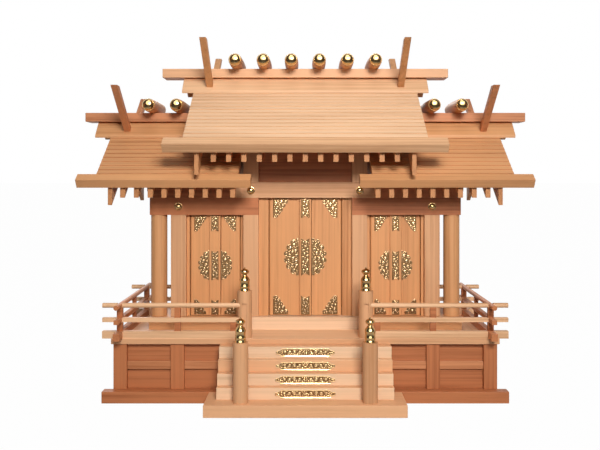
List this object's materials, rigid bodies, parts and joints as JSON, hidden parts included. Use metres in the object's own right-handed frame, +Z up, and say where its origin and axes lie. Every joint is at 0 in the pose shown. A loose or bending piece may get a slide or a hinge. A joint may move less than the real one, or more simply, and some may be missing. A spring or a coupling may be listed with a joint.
{
  "type": "household shrine",
  "caption": "Wooden household shrine with a stepped gable roof, three pairs of pivoting doors, railed veranda, front stair and brass fittings.",
  "frame": {"origin": "centre of the base plate's underside", "axes": "+X to the viewer's right, +Y to the back, +Z up; the doors face -Y"},
  "size_m": [0.609, 0.3066, 0.4622],
  "materials": {
    "wood": "satin",
    "roof_wood": "satin",
    "brass": "polished"
  },
  "bodies": {
    "shrine": {"base_plate": "wood", "stair_base_plate": "wood", "base_posts": "wood", "base_panels": "wood", "base_rails": "wood", "veranda_front_board": "wood", "veranda_back_board": "wood", "veranda_side_boards": "wood", "veranda_core": "wood", "step_1": "wood", "step_2": "wood", "step_3": "wood", "step_4": "wood", "riser_plates": "brass", "newel_posts": "wood", "newel_caps": "brass", "front_railing_left": "wood", "front_railing_right": "wood", "left_railing": "wood", "right_railing": "wood", "back_railing": "wood", "body_sill": "wood", "pillars": "wood", "outer_posts": "wood", "side_beams": "wood", "tie_beams": "wood", "beam_studs": "brass", "purlins": "wood", "side_walls": "wood", "hall_walls": "wood", "back_walls": "wood", "upper_panels": "wood", "door_jambs": "wood", "main_rafters": "wood", "side_rafters": "wood", "bargeboards": "wood", "main_roof": "roof_wood", "side_roofs": "roof_wood", "eave_boards": "wood", "ridge_caps": "wood", "ridge_beams": "wood", "finials": "wood", "ridge_logs": "wood", "log_caps": "brass"},
    "left_door_left": {"left_door_left_leaf": "wood", "left_door_left_plates": "brass"},
    "left_door_right": {"left_door_right_leaf": "wood", "left_door_right_plates": "brass"},
    "middle_door_left": {"middle_door_left_leaf": "wood", "middle_door_left_plates": "brass"},
    "middle_door_right": {"middle_door_right_leaf": "wood", "middle_door_right_plates": "brass"},
    "right_door_left": {"right_door_left_leaf": "wood", "right_door_left_plates": "brass"},
    "right_door_right": {"right_door_right_leaf": "wood", "right_door_right_plates": "brass"}
  },
  "joints": [
    {"name": "left_door_left_hinge", "type": "hinge", "parent": "shrine", "child": "left_door_left", "pos_m": [-0.1534, -0.0135, 0.0954], "axis": [0, 0, -1], "range_deg": [0, 90]},
    {"name": "left_door_right_hinge", "type": "hinge", "parent": "shrine", "child": "left_door_right", "pos_m": [-0.0906, -0.0135, 0.0954], "axis": [0, 0, 1], "range_deg": [0, 90]},
    {"name": "middle_door_left_hinge", "type": "hinge", "parent": "shrine", "child": "middle_door_left", "pos_m": [-0.0466, -0.0135, 0.0954], "axis": [0, 0, -1], "range_deg": [0, 90]},
    {"name": "middle_door_right_hinge", "type": "hinge", "parent": "shrine", "child": "middle_door_right", "pos_m": [0.0466, -0.0135, 0.0954], "axis": [0, 0, 1], "range_deg": [0, 90]},
    {"name": "right_door_left_hinge", "type": "hinge", "parent": "shrine", "child": "right_door_left", "pos_m": [0.0906, -0.0135, 0.0954], "axis": [0, 0, -1], "range_deg": [0, 90]},
    {"name": "right_door_right_hinge", "type": "hinge", "parent": "shrine", "child": "right_door_right", "pos_m": [0.1534, -0.0135, 0.0954], "axis": [0, 0, 1], "range_deg": [0, 90]}
  ]
}
